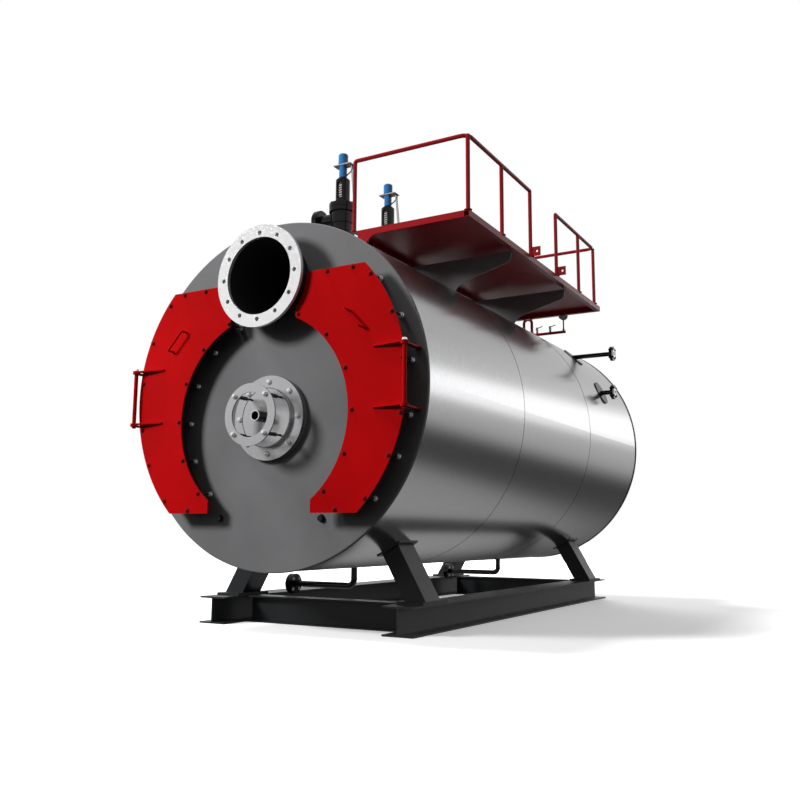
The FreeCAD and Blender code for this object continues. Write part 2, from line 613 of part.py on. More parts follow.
def make_legs():
    """Raked box-section legs: a foot plate on the beam, a curved collar against the barrel."""
    for end in ("front", "rear"):
        along = f"leg_{end}"
        for label, side in SIDES:
            name = f"leg_{end}_{label}"
            mirrored = [[(f"{side} * ({across})", up) for across, up in leg_outline(inset)]
                        for inset in ("0", "leg_wall")]
            outside = padded_outline(name + "_outside", mirrored[0], "leg_depth",
                                     ("0", f"{along} + leg_depth / 2", "0"), UPRIGHT_XZ)
            inside = padded_outline(name + "_inside", mirrored[1], "leg_depth - 2 * leg_wall",
                                    ("0", f"{along} + leg_depth / 2 - leg_wall", "0"), UPRIGHT_XZ)
            collar_face = cylinder(name + "_collar_face", "jacket_radius + collar_thickness", "leg_depth",
                                   ("0", f"{along} - leg_depth / 2", "axis_height"), "y")
            strip = cut(name + "_strip", outside, inside, collar_face)
            sole = box(name + "_sole", ("leg_width + 2 * foot_margin", "leg_depth + 2 * foot_reach",
                                        "foot_thickness"),
                       (f"{side} * beam_out - leg_width / 2 - foot_margin",
                        f"{along} - leg_depth / 2 - foot_reach", "beam_height"))
            node(fuse(name, strip, sole, leg_collar(name, side, along)), name)


def leg_collar(name, side, along):
    """The curved plate between a leg and the barrel, a margin wider than the leg all round."""
    start = f"{along} - leg_depth / 2 - collar_margin"
    length = "leg_depth + 2 * collar_margin"
    patch = tube(name + "_collar_ring", "jacket_radius + collar_thickness", "jacket_radius", length,
                 ("0", start, "axis_height"), "y")
    width = "leg_width * cos(leg_tilt) ^ 2 + 2 * collar_margin"
    window = box(name + "_collar_window", (width, length, "jacket_radius"),
                 (f"{side} * leg_contact - ({width}) / 2", start,
                  "axis_height - jacket_radius - 2 * collar_thickness"))
    return overlap(name + "_collar", patch, window)


# ---------- pipes ----------

def bent_pipe(name, corners, outer, wall, bend):
    """A hollow pipe along straight runs and tangent arcs."""
    return feature(name, bar(corners, outer, bend).cut(bar(corners, outer - wall, bend)))


def pipe_flange(name, kind, at):
    """A pair of bolted flanges on a small pipe, with a groove between them, facing along X."""
    outer = f"{kind}_flange_radius"
    ring = drilled_ring(name, outer, f"{kind}_radius - {kind}_wall", f"{kind}_flange_thickness",
                        f"{kind}_hole_circle", "small_hole_radius", "4", at, "x", 45)
    across, along, up = at
    middle = f"{across} + ({kind}_flange_thickness - groove_width) / 2"
    groove = tube(name + "_groove", f"{outer} + groove_depth", f"{outer} - groove_depth",
                  "groove_width", (middle, along, up), "x")
    return cut(name + "_pair", ring, groove)


def make_blow_down_pipes():
    """A drain from the barrel's underside at each end, turned left to a flange."""
    for end in ("front", "rear"):
        along = value(f"drain_{end}")
        height = value("drain_height")
        inside = value("axis_height - jacket_radius") + value("drain_radius")
        corners = [FreeCAD.Vector(0, along, inside), FreeCAD.Vector(0, along, height),
                   FreeCAD.Vector(value("drain_flange_thickness - drain_reach"), along, height)]
        pipe = bent_pipe(f"drain_{end}_pipe", corners, value("drain_radius"), value("drain_wall"),
                         value("drain_bend"))
        trimmed = cut(f"drain_{end}_trimmed", pipe,
                      cylinder(f"drain_{end}_barrel", "jacket_radius", "4 * drain_radius",
                               ("0", f"drain_{end} - 2 * drain_radius", "axis_height"), "y"))
        flange = pipe_flange(f"drain_{end}_flange", "drain", ("-drain_reach", f"drain_{end}", "drain_height"))
        node(fuse(f"blow_down_pipe_{end}", trimmed, flange), f"blow_down_pipe_{end}")


def make_level_pipes():
    """Two straight pipes out of the barrel's right side, one above the other, for a level gauge."""
    for label in ("upper", "lower"):
        name = f"level_pipe_{label}"
        height = f"level_{label}"
        rise = value(f"{height} - axis_height")
        radius = value("jacket_radius")
        slope = math.degrees(math.asin(rise / radius))
        run = ("0", "level_along", height)
        length = "level_reach - level_flange_thickness"
        pipe = tube(name + "_straight", "level_radius", "level_radius - level_wall", length, run, "x")
        lean = turned((0, 1, 0), 90 - slope)
        sunk = 2 * value("rosette_thickness")
        stand = lean.multVec(FreeCAD.Vector(0, 0, radius - sunk))
        rosette = cylinder(name + "_rosette", "rosette_radius", f"rosette_thickness + {sunk}",
                           ("0", "0", "0"))
        place(rosette, (str(stand.x), "level_along", f"axis_height + {stand.z}"), lean)
        hollow = cylinder(name + "_rosette_bore", "level_radius - level_wall", "level_reach", run, "x")
        body = fuse(name + "_body", pipe, cut(name + "_rosette_cut", rosette, hollow))
        barrel = cylinder(name + "_barrel", "jacket_radius", "4 * rosette_radius",
                          ("0", "level_along - 2 * rosette_radius", "axis_height"), "y")
        flange = pipe_flange(name + "_flange", "level", (length, "level_along", height))
        node(fuse(name, cut(name + "_trimmed", body, barrel), flange), name)


def make_instrument_pipe():
    """A pipe that rises from the barrel behind the platform, turns over and runs out level as a
    header with three stubs, with a pressure gauge on the last one."""
    along = value("header_along")
    root, drop_out = value("header_root"), value("header_drop_out")
    inside = value("axis_height + sqrt(jacket_radius ^ 2 - header_root ^ 2) - header_radius")
    route = ((root, inside), (root, value("header_top")), (drop_out, value("header_top")),
             (drop_out, value("header_height")), (value("header_end"), value("header_height")))
    pipe = bent_pipe("instrument_header", [FreeCAD.Vector(x, along, z) for x, z in route],
                     value("header_radius"), value("header_wall"), value("header_bend"))
    barrel = cylinder("instrument_barrel", "jacket_radius", "4 * header_radius",
                      ("0", "header_along - 2 * header_radius", "axis_height"), "y")
    bore = cylinder("instrument_bore", "header_radius - header_wall", "header_end - header_drop_out",
                    ("header_drop_out", "header_along", "header_height"), "x")
    stubs = [cut(f"instrument_stub_{n}",
                 cylinder(f"instrument_stub_blank_{n}", "stub_radius", "stub_length",
                          (out, "header_along", "header_height")), bore)
             for n, out in enumerate(("stub_first", "stub_second", "gauge_out"))]
    node(fuse("instrument_pipe", cut("instrument_run", pipe, barrel), *stubs), "instrument_pipe")
    foot = "header_height + stub_length"
    siphon = cylinder("gauge_siphon", "siphon_radius", f"gauge_height - ({foot})",
                      ("gauge_out", "header_along", foot))
    case = cylinder("gauge_case", "gauge_radius", "gauge_thickness",
                    ("gauge_out", "header_along - gauge_thickness / 2", "gauge_height"), "y")
    node(fuse("pressure_gauge", siphon, case), "pressure_gauge")


# ---------- platform ----------

def square_tube(name, size, at, hollow_axis):
    """A box-section beam, open at both ends along one axis."""
    wall = "deck_beam_wall"
    shrink = [text if axis == hollow_axis else f"{text} - 2 * {wall}" for axis, text in zip("xyz", size)]
    shift = [text if axis == hollow_axis else f"{text} + {wall}" for axis, text in zip("xyz", at)]
    return cut(name, box(name + "_outside", size, at), box(name + "_hollow", shrink, shift))


def make_deck():
    """A chequer plate on a frame of square tubes: two long ones, and two across between them. The
    plate runs past the frame at its inner front corner, over the shoe."""
    node(box("deck_floor", ("deck_outer - deck_inner", "deck_rear - deck_front", "deck_plate"),
             ("deck_inner", "deck_front", "deck_height - deck_plate")), "deck_floor")
    wide = ("deck_beam", "deck_rear - deck_front", "deck_beam")
    inner_long = ("deck_beam", "deck_rear - deck_front - deck_lip", "deck_beam")
    front_long = ("deck_outer - deck_inner - deck_lip - deck_beam", "deck_beam", "deck_beam")
    rear_long = ("deck_outer - deck_inner - 2 * deck_beam", "deck_beam", "deck_beam")
    node(square_tube("deck_beam_outer", wide, ("deck_outer - deck_beam", "deck_front", "deck_low"), "y"),
         "deck_beam_outer")
    node(square_tube("deck_beam_inner", inner_long,
                     ("deck_inner", "deck_front + deck_lip", "deck_low"), "y"), "deck_beam_inner")
    node(square_tube("deck_beam_front", front_long,
                     ("deck_inner + deck_lip", "deck_front", "deck_low"), "x"), "deck_beam_front")
    node(square_tube("deck_beam_rear", rear_long,
                     ("deck_inner + deck_beam", "deck_rear - deck_beam", "deck_low"), "x"),
         "deck_beam_rear")


def make_gussets():
    """Two plates across the barrel that carry the deck, each with a cap strip under its beams."""
    sunk = "gusset_root_height - 2 * gusset_curve"
    corners = [("deck_inner", "deck_low"), ("deck_inner", sunk), ("gusset_root", sunk),
               ("gusset_root", "gusset_root_height"), ("gusset_outer", "gusset_nose_height"),
               ("gusset_outer", "deck_low")]
    for end in ("front", "rear"):
        name = f"deck_gusset_{end}"
        plate = padded_outline(name + "_plate", corners, "gusset_plate",
                               ("0", f"gusset_{end} + gusset_plate", "0"), UPRIGHT_XZ,
                               ((3, "gusset_curve"), (4, "gusset_nose_round")))
        barrel = cylinder(name + "_barrel", "jacket_radius", "3 * gusset_plate",
                          ("0", f"gusset_{end} - gusset_plate", "axis_height"), "y")
        cap = box(name + "_cap", ("gusset_outer - deck_inner", "gusset_cap", "gusset_plate"),
                  ("deck_inner", f"gusset_{end}", "deck_low - gusset_plate"))
        node(fuse(name, cut(name + "_web", plate, barrel), cap), name)


def make_shoe():
    """The plate that stands on the barrel and carries the inner end of the deck's front beam."""
    head = "deck_height - deck_plate"
    foot = "crown_height - jacket_radius / 2"
    corners = [("shoe_inner", head), ("shoe_inner", foot), ("shoe_inner + shoe_leg", foot),
               ("shoe_inner + shoe_leg", "deck_low"), ("deck_inner + deck_lip", "deck_low"),
               ("deck_inner + deck_lip", head)]
    blank = padded_outline("deck_shoe_blank", corners, "shoe_plate",
                           ("0", "deck_front + shoe_plate", "0"), UPRIGHT_XZ, ((3, "shoe_curve"),))
    barrel = cylinder("deck_shoe_barrel", "jacket_radius", "3 * shoe_plate",
                      ("0", "deck_front - shoe_plate", "axis_height"), "y")
    node(cut("deck_shoe_front", blank, barrel), "deck_shoe_front")


def make_railing():
    """Tube posts and one top rail, in four frames, with a gap for a ladder on the outer side."""
    floor, top, radius = value("deck_height"), value("rail_top"), value("rail_radius")
    x_in, x_out = value("rail_in"), value("rail_out")
    middle = (x_in + x_out) / 2
    posts = [value(f"post_{n}") for n in ("first", "second", "third", "fourth", "fifth", "last")]
    ends = {"front": (posts[0], posts[:3], posts[2]), "rear": (posts[-1], posts[3:], posts[3])}
    for end, (across, feet, stop) in ends.items():
        halfway = FreeCAD.Vector(middle, across, top)
        inner = [FreeCAD.Vector(x_in, across, floor), FreeCAD.Vector(x_in, across, top), halfway]
        node(feature(f"railing_{end}", bar(inner, radius, value("rail_inner_bend"))), f"railing_{end}")
        outer = [halfway, FreeCAD.Vector(x_out, across, top), FreeCAD.Vector(x_out, stop, top)]
        shape = bar(outer, radius, value("rail_bend"))
        for along in feet:
            shape = shape.fuse(Part.makeCylinder(radius, top - floor, FreeCAD.Vector(x_out, along, floor)))
        name = f"railing_outer_{end}"
        tubes = feature(name + "_tubes", shape.removeSplitter())
        post = "post_third" if end == "front" else "post_fourth"
        node(fuse(name, tubes, *ladder_lug(name + "_lug", post)), name)


def ladder_lug(name, post):
    """A drilled plate that reaches out past the deck's edge, on a post's base plate, for the
    ladder's head."""
    plate = box(name + "_plate", ("lug_width", "lug_plate", "lug_height"),
                ("rail_out", f"{post} - lug_plate / 2", "deck_height"))
    hole = cylinder(name + "_hole", "lug_hole", "lug_plate",
                    ("rail_out + lug_width - lug_edge", f"{post} - lug_plate / 2",
                     "deck_height + lug_height / 2"), "y")
    base = box(name + "_base", ("lug_base + rail_radius", "2 * lug_base", "lug_base_plate"),
               ("rail_out - lug_base", f"{post} - lug_base", "deck_height"))
    return cut(name, plate, hole), base


# ---------- safety valves ----------

def flange_pair(name, kind, at, along):
    """Two discs with a smaller gasket between them, stacked along an axis from a place."""
    radius, thick = f"{kind}_flange_radius", f"{kind}_flange_thickness"
    across, y, up = at
    reach = f"2 * {thick} + valve_gasket"
    pair = cylinder(name + "_pair", radius, reach, at, along)
    middle = (f"{across} - {thick}", y, up) if along == "-x" else (across, y, f"{up} + {thick}")
    return cut(name, pair, tube(name + "_gap", f"{radius} + valve_gasket", f"{radius} - groove_depth",
                                "valve_gasket", middle, along))


def valve_body(name, along):
    """Nozzle, inlet flanges, bowl with a side outlet, band and a bonnet with a spring window."""
    at = "-valve_out"
    bonnet_low = "valve_bonnet_foot"
    pieces = [
        cylinder(name + "_nozzle", "valve_nozzle_radius", "valve_nozzle_length + valve_nozzle_radius",
                 (at, along, "crown_height - valve_nozzle_radius")),
        flange_pair(name + "_inlet", "valve", (at, along, "valve_seat_height"), "z"),
        cylinder(name + "_waist", "valve_waist_radius", "valve_waist_length",
                 (at, along, "valve_body_foot")),
        cylinder(name + "_bowl", "valve_bowl_radius", "valve_bowl_length",
                 (at, along, "valve_body_foot + valve_waist_length")),
        cylinder(name + "_outlet", "outlet_radius", "outlet_reach", (at, along, "outlet_height"), "-x"),
        flange_pair(name + "_outlet_flange", "outlet",
                    ("-(valve_out + outlet_reach - 2 * outlet_flange_thickness - valve_gasket)", along,
                     "outlet_height"), "-x"),
        cylinder(name + "_band", "valve_band_radius", "2 * valve_band_thickness + valve_gasket",
                 (at, along, "valve_band_foot")),
        cylinder(name + "_bonnet", "valve_bonnet_radius", "valve_bonnet_length", (at, along, bonnet_low)),
        cone(name + "_shoulder", "valve_bonnet_radius", "valve_neck_radius", "valve_chamfer",
             (at, along, f"{bonnet_low} + valve_bonnet_length")),
    ]
    band_gap = tube(name + "_band_gap", "valve_band_radius + valve_gasket",
                    "valve_band_radius - groove_depth", "valve_gasket",
                    (at, along, "valve_band_foot + valve_band_thickness"))
    bore = cylinder(name + "_outlet_bore", "outlet_bore", "outlet_reach",
                    (at, along, "outlet_height"), "-x")
    barrel = cylinder(name + "_barrel", "jacket_radius", "4 * valve_nozzle_radius",
                      ("0", f"{along} - 2 * valve_nozzle_radius", "axis_height"), "y")
    spring_room = cylinder(name + "_spring_room", "valve_bonnet_radius - valve_bonnet_wall",
                           "window_height", (at, along, f"{bonnet_low} + window_rise"))
    window = box(name + "_window", ("window_width", "3 * valve_bonnet_radius", "window_height"),
                 ("-valve_out - window_width / 2", f"{along} - 3 * valve_bonnet_radius / 2",
                  f"{bonnet_low} + window_rise"))
    return cut(name, fuse(name + "_solid", *pieces), band_gap, bore, barrel, spring_room, window)


def valve_cap(name, along):
    """The cap with its rounded top, on the neck that the fork rests on."""
    at = "-valve_out"
    neck = cylinder(name + "_neck", "valve_neck_radius", "valve_neck_length",
                    (at, along, "valve_bonnet_top"))
    head = cylinder(name + "_head", "valve_cap_radius", "valve_cap_length", (at, along, "valve_cap_foot"))
    rounded = round_rim(name + "_rounded", head, "z", value("valve_cap_foot + valve_cap_length"),
                        value("valve_cap_round"))
    return fuse(name, neck, rounded)


def valve_lever(name, along):
    """The easing gear: a forked plate round the neck, a pin at its end and a hand lever that hangs
    from the pin."""
    fork_top = "valve_cap_foot - fork_drop"
    fork = box(name + "_fork", ("fork_tail + lever_out + lever_pin_radius", "fork_width", "fork_plate"),
               ("-valve_out - fork_tail", f"{along} - fork_width / 2", f"{fork_top} - fork_plate"))
    slot = cylinder(name + "_slot", "valve_neck_radius", "3 * fork_plate",
                    ("-valve_out", along, f"{fork_top} - 2 * fork_plate"))
    pin_height = f"{fork_top} - fork_plate / 2"
    pin = cylinder(name + "_pin", "lever_pin_radius", "lever_pin_length",
                   ("-valve_out + lever_out", f"{along} - lever_pin_length / 2", pin_height), "y")
    handle = box(name + "_handle", ("lever_bar", "lever_plate", "lever_length"),
                 ("-valve_out + lever_out + lever_length * sin(lever_lean) - lever_bar / 2",
                  f"{along} - lever_plate / 2", f"{pin_height} - lever_length * cos(lever_lean)"),
                 turned((0, 1, 0), -value("lever_lean")))
    return fuse(name, cut(name + "_forked", fork, slot), pin, handle)


def make_safety_valves():
    """Two spring safety valves in a row on the crown, their outlets turned away from the deck."""
    for end in ("front", "rear"):
        along = f"valve_{end}"
        node(valve_body(f"safety_valve_{end}", along), f"safety_valve_{end}")
        node(valve_cap(f"valve_cap_{end}", along), f"valve_cap_{end}")
        node(valve_lever(f"valve_lever_{end}", along), f"valve_lever_{end}")


# ---------- the whole boiler ----------

def check_and_write():
    """Stops on any failed feature or bad shape, then writes one STEP file a node."""
    DOCUMENT.recompute()
    failed = [o.Name for o in DOCUMENT.Objects if "Invalid" in o.State or "Error" in o.State]
    if failed:
        raise RuntimeError(f"features failed: {failed}")
    for thing in NODES:
        shape = thing.Shape
        if shape.isNull() or not shape.isValid() or not shape.Solids:
            raise RuntimeError(f"{thing.Label} has no valid solid")
    os.makedirs("parts", exist_ok=True)
    for thing in NODES:
        thing.Shape.exportStep(f"parts/{thing.Label}.step")
        size = thing.Shape.BoundBox
        print(f"{thing.Label:26s} solids {len(thing.Shape.Solids)} volume {thing.Shape.Volume / 1e6:10.3f} l"
              f"  x {size.XMin:.0f} {size.XMax:.0f}  y {size.YMin:.0f} {size.YMax:.0f}"
              f"  z {size.ZMin:.0f} {size.ZMax:.0f}")


make_barrel()
make_burner_opening()
make_flue()
make_doors()
make_relief_door()
make_skid()
make_legs()
make_blow_down_pipes()
make_level_pipes()
make_instrument_pipe()
make_deck()
make_gussets()
make_shoe()
make_railing()
make_safety_valves()
check_and_write()
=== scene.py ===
"""Looks of the horizontal fire-tube boiler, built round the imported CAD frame.

Metres, +Z up, in the frame's own coordinates. Places come from the frame's nodes, and what no node's
box gives, such as a bolt circle, is a named value beside the function that uses it.
"""
import math

import bmesh
import bpy
from mathutils import Matrix, Vector
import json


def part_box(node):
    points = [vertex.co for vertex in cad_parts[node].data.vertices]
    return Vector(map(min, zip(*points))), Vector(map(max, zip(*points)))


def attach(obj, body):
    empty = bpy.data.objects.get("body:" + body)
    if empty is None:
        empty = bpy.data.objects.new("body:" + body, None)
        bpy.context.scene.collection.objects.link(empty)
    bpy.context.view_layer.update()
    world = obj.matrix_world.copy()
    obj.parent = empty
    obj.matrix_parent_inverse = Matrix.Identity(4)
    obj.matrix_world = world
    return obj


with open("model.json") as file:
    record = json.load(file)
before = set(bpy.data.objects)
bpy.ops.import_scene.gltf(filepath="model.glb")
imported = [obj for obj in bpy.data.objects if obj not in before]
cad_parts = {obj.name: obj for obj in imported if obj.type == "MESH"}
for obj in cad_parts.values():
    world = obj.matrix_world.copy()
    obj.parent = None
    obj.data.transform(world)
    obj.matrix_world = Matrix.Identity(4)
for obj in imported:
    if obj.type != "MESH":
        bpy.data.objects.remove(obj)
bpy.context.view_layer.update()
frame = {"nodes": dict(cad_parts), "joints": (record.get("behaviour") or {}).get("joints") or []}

NODES = frame["nodes"]
SIDES = {"left": -1, "right": 1}
FRONT = Vector((0, -1, 0))
BACK = Vector((0, 1, 0))
RIGHT = Vector((1, 0, 0))
UP = Vector((0, 0, 1))


def low(node):
    return Vector(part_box(node)[0])


def high(node):
    return Vector(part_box(node)[1])


def middle(node):
    return (low(node) + high(node)) / 2


# ---------- finishes ----------

class Nodes:
    """A shader node tree, with short ways to add its nodes and to join them."""

    def __init__(self, tree):
        self.tree = tree

    def node(self, kind, **settings):
        made = self.tree.nodes.new("ShaderNode" + kind)
        for name, value in settings.items():
            setattr(made, name, value)
        return made

    def join(self, output, target):
        self.tree.links.new(output, target)

    def ramp(self, factor, stops):
        """Colours that follow a 0 to 1 factor, from (position, colour) stops."""
        made = self.node("ValToRGB")
        elements = made.color_ramp.elements
        while len(elements) < len(stops):
            elements.new(0.5)
        for element, (position, colour) in zip(elements, stops):
            element.position = position
            element.color = (*colour, 1)
        self.join(factor, made.inputs["Fac"])
        return made.outputs["Color"]

    def spread(self, value, least, most, start=0.0, stop=1.0):
        """A value that runs from start to stop, mapped to least to most."""
        made = self.node("MapRange")
        limits = {"From Min": start, "From Max": stop, "To Min": least, "To Max": most}
        for socket, number in limits.items():
            made.inputs[socket].default_value = number
        self.join(value, made.inputs["Value"])
        return made.outputs["Result"]


class Finish(Nodes):
    """A node material round one Principled shader. Patterns follow the frame's own coordinates."""

    def __init__(self, name, colour, metallic=0.0, roughness=0.5, **sockets):
        self.material = bpy.data.materials.new(name)
        self.material.use_nodes = True
        super().__init__(self.material.node_tree)
        self.shader = self.tree.nodes["Principled BSDF"]
        self.shader.inputs["Base Color"].default_value = (*colour, 1)
        self.shader.inputs["Metallic"].default_value = metallic
        self.shader.inputs["Roughness"].default_value = roughness
        for socket, value in sockets.items():
            self.shader.inputs[socket.replace("_", " ")].default_value = value
        self.place = self.node("TexCoord").outputs["Object"]

    def stretched(self, scale):
        """The place with each axis scaled, so that a pattern can run long one way."""
        mapping = self.node("Mapping")
        mapping.inputs["Scale"].default_value = scale
        self.join(self.place, mapping.inputs["Vector"])
        return mapping.outputs["Vector"]

    def noise(self, scale, detail=3.0, stretch=(1, 1, 1)):
        made = self.node("TexNoise")
        made.inputs["Scale"].default_value = scale
        made.inputs["Detail"].default_value = detail
        self.join(self.stretched(stretch), made.inputs["Vector"])
        return made.outputs["Fac"]

    def bump(self, height, strength, distance):
        made = self.node("Bump")
        made.inputs["Strength"].default_value = strength
        made.inputs["Distance"].default_value = distance
        self.join(height, made.inputs["Height"])
        self.join(made.outputs["Normal"], self.shader.inputs["Normal"])

    def tint(self, factor, dark, light):
        self.join(self.ramp(factor, [(0.3, dark), (0.7, light)]), self.shader.inputs["Base Color"])

    def roughen(self, factor, least, most):
        self.join(self.spread(factor, least, most), self.shader.inputs["Roughness"])


def shades(colour, variation):
    """A colour a little darker and a little lighter."""
    shares = (1 - variation, 1 + variation)
    return [tuple(min(part * share, 1) for part in colour) for share in shares]


def paint(name, colour, roughness, variation=0.1, peel=0.0003, gloss=0.5):
    """Sprayed paint: faint cloudiness, uneven gloss and a fine orange-peel surface."""
    made = Finish(name, colour, roughness=roughness, Specular_IOR_Level=gloss)
    made.tint(made.noise(1.7, 4), *shades(colour, variation))
    made.roughen(made.noise(9, 5), roughness - 0.06, roughness + 0.06)
    made.bump(made.noise(300, 2), 0.12, peel)
    return made.material


def brushed(name, colour, roughness, lines, direction, depth=0.00004, metallic=1.0, variation=0.09):
    """Bare metal with fine polishing lines, and a gloss that varies from sheet to sheet."""
    made = Finish(name, colour, metallic=metallic, roughness=roughness)
    streaks = made.noise(lines, 4, direction)
    made.tint(streaks, *shades(colour, variation))
    made.roughen(streaks, roughness - 0.05, roughness + 0.07)
    made.bump(streaks, 0.3, depth)
    return made.material


# About the distance between the wave texture's crests at a scale of 1.
WAVE_LENGTH = 0.314


def chequered(name, colour, roughness, pitch):
    """Painted plate whose upper side has two crossing rows of raised bars, as a walkway has."""
    made = Finish(name, colour, roughness=roughness)
    up = made.node("SeparateXYZ")
    made.join(made.node("NewGeometry").outputs["True Normal"], up.inputs["Vector"])
    top = made.node("Math", operation="GREATER_THAN")
    made.join(up.outputs["Z"], top.inputs[0])
    rows = [top.outputs["Value"]]
    for turn in (math.pi / 4, -math.pi / 4):
        mapping = made.node("Mapping")
        mapping.inputs["Rotation"].default_value = (0, 0, turn)
        made.join(made.place, mapping.inputs["Vector"])
        wave = made.node("TexWave")
        wave.inputs["Scale"].default_value = WAVE_LENGTH / pitch
        made.join(mapping.outputs["Vector"], wave.inputs["Vector"])
        rows.append(wave.outputs["Fac"])
    while len(rows) > 1:
        both = made.node("Math", operation="MULTIPLY")
        made.join(rows.pop(), both.inputs[0])
        made.join(rows.pop(), both.inputs[1])
        rows.append(both.outputs["Value"])
    made.bump(rows[0], 0.8, 0.002)
    made.tint(made.noise(2.5, 5), *shades(colour, 0.15))
    return made.material


RED = (0.42, 0.002, 0.003)
RAIL_RED = (0.29, 0.003, 0.007)
EVEN = (1, 1, 1)
FINE = 0.00001
# Bright steel for nuts, caps and the valve springs. Part of its whiteness is the steel's own colour and
# part is a painted glint, since its near-white diffuse share stays bright where no highlight falls.
POLISHED_WITH_PAINTED_GLINT = brushed("polished caps with painted glint", (0.97, 0.97, 0.97), 0.16, 40, EVEN, FINE, 0.45, 0.03)
RELIEF_STEEL = brushed("relief door steel", (0.54, 0.54, 0.55), 0.24, 24, EVEN, FINE, 0.6, 0.05)
FINISHES = {
    "jacket": brushed("brushed stainless", (0.70, 0.70, 0.71), 0.2, 30, (1, 9, 1)),
    "end_plate": paint("end plate grey", (0.165, 0.166, 0.170), 0.42, gloss=0.25),
    "flue_inside": paint("soot black", (0.003, 0.003, 0.003), 0.85),
    "bright_flange": brushed("turned steel", (0.95, 0.95, 0.96), 0.24, 12, EVEN, FINE, 0.5, 0.03),
    "door_red": paint("door red", RED, 0.38, gloss=0.1),
    "smoke_box": paint("smoke box black", (0.02, 0.02, 0.021), 0.55),
    "dark_trim": paint("black oxide", (0.008, 0.008, 0.009), 0.34),
    "skid_black": paint("skid charcoal", (0.020, 0.021, 0.023), 0.4),
    "pipe_black": paint("pipe black", (0.002, 0.002, 0.003), 0.2),
    "valve_blue": paint("valve blue", (0.03, 0.19, 0.46), 0.2),
    "lever_grey": paint("lever grey", (0.42, 0.43, 0.44), 0.35),
    "platform_red": paint("platform red", RAIL_RED, 0.3, gloss=0.4),
    "gusset_grey": paint("gusset grey", (0.20, 0.20, 0.205), 0.42),
}


def finish_nodes():
    """Each CAD node's own material slots, named after the record's slots, get their finish."""
    for thing in NODES.values():
        for slot in thing.material_slots:
            slot.material = FINISHES[slot.material.name.split(".")[0]]
    NODES["deck_floor"].material_slots[0].material = chequered("chequer plate red", RAIL_RED, 0.4, 0.03)
    for name in ("relief_seat", "relief_disc", "relief_guard_ring"):
        NODES[name].material_slots[0].material = RELIEF_STEEL


# ---------- mesh forms ----------

def facing(direction, spot):
    """A frame at the spot whose local Z runs along the direction."""
    return Matrix.Translation(spot) @ Vector(direction).to_track_quat("Z", "Y").to_matrix().to_4x4()


def wrapped(rows, sides):
    """Faces between neighbouring rings of points, where each ring has that many sides."""
    faces = []
    for row in range(rows - 1):
        near, far = row * sides, (row + 1) * sides
        for step in range(sides):
            after = (step + 1) % sides
            faces.append((near + step, near + after, far + after, far + step))
    return faces


class Shape:
    """One mesh piece put together from turned, swept and flat-sided forms."""

    def __init__(self):
        self.points = []
        self.faces = []

    def add(self, points, faces, at=Matrix()):
        first = len(self.points)
        self.points += [at @ Vector(point) for point in points]
        self.faces += [tuple(first + corner for corner in face) for face in faces]

    def turned(self, profile, at, sides=24):
        """Turns (radius, height) points about the local Z axis. A ring's last point is its first."""
        points = []
        for radius, height in profile:
            for step in range(sides):
                angle = math.tau * (step + 0.5) / sides
                points.append((radius * math.cos(angle), radius * math.sin(angle), height))
        self.add(points, wrapped(len(profile), sides), at)

    def ring(self, inner, outer, depth, at, sides=48):
        """A flat ring with its back on the frame's plane."""
        edge = min(depth, outer - inner) * 0.2
        profile = [(inner, 0), (outer, 0), (outer, depth - edge), (outer - edge, depth)]
        profile += [(inner, depth), (inner, 0)]
        self.turned(profile, at, sides)

    def domed(self, radius, height, at, sides=20):
        """A low round cap."""
        profile = [(0, 0), (radius, 0), (radius, height * 0.3), (radius * 0.86, height * 0.68)]
        profile += [(radius * 0.5, height * 0.94), (0, height)]
        self.turned(profile, at, sides)

    def hexagon(self, radius, height, at):
        """A hexagon head or nut with a chamfered top, on a washer."""
        washer = height * 0.2
        self.rod(radius * 1.25, washer, at, 20)
        chamfer = [(radius, height * 0.86), (radius * 0.86, height)]
        self.turned([(0, washer), (radius, washer), *chamfer, (0, height)], at, 6)

    def rod(self, radius, length, at, sides=16):
        """A plain round bar or disc that stands on the frame's plane."""
        self.turned([(0, 0), (radius, 0), (radius, length), (0, length)], at, sides)

    def tube(self, path, radius, sides=10):
        """A round bar that follows the path."""
        path = [Vector(spot) for spot in path]
        points = []
        normal = (path[1] - path[0]).orthogonal().normalized()
        for index, spot in enumerate(path):
            ahead = (path[min(index + 1, len(path) - 1)] - path[max(index - 1, 0)]).normalized()
            normal = (normal - normal.dot(ahead) * ahead).normalized()
            across = ahead.cross(normal)
            for step in range(sides):
                angle = math.tau * step / sides
                points.append(spot + radius * (math.cos(angle) * normal + math.sin(angle) * across))
        faces = wrapped(len(path), sides)
        last = (len(path) - 1) * sides
        faces.append(tuple(reversed(range(sides))))
        faces.append(tuple(range(last, last + sides)))
        self.add(points, faces)

    def slab(self, outline, depth, at=Matrix()):
        """A flat outline in the local XY plane, given some depth along Z."""
        count = len(outline)
        points = [(x, y, z) for z in (0, depth) for x, y in outline]
        faces = [tuple(reversed(range(count))), tuple(range(count, 2 * count))]
        for corner in range(count):
            after = (corner + 1) % count
            faces.append((corner, after, count + after, count + corner))
        self.add(points, faces, at)

    def piece(self, name, body, slot, finish=None):
        """The finished mesh, riding on its body, in the slot's finish or in a brighter one."""
        mesh = bpy.data.meshes.new(name)
        mesh.from_pydata(self.points, [], self.faces)
        mesh.validate()
        clean_up(mesh)
        mesh.polygons.foreach_set("use_smooth", [True] * len(mesh.polygons))
        mesh.set_sharp_from_angle(angle=math.radians(32))
        mesh.materials.append(finish or FINISHES[slot])
        made = bpy.data.objects.new(name, mesh)
        bpy.context.collection.objects.link(made)
        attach(made, body)
        return made


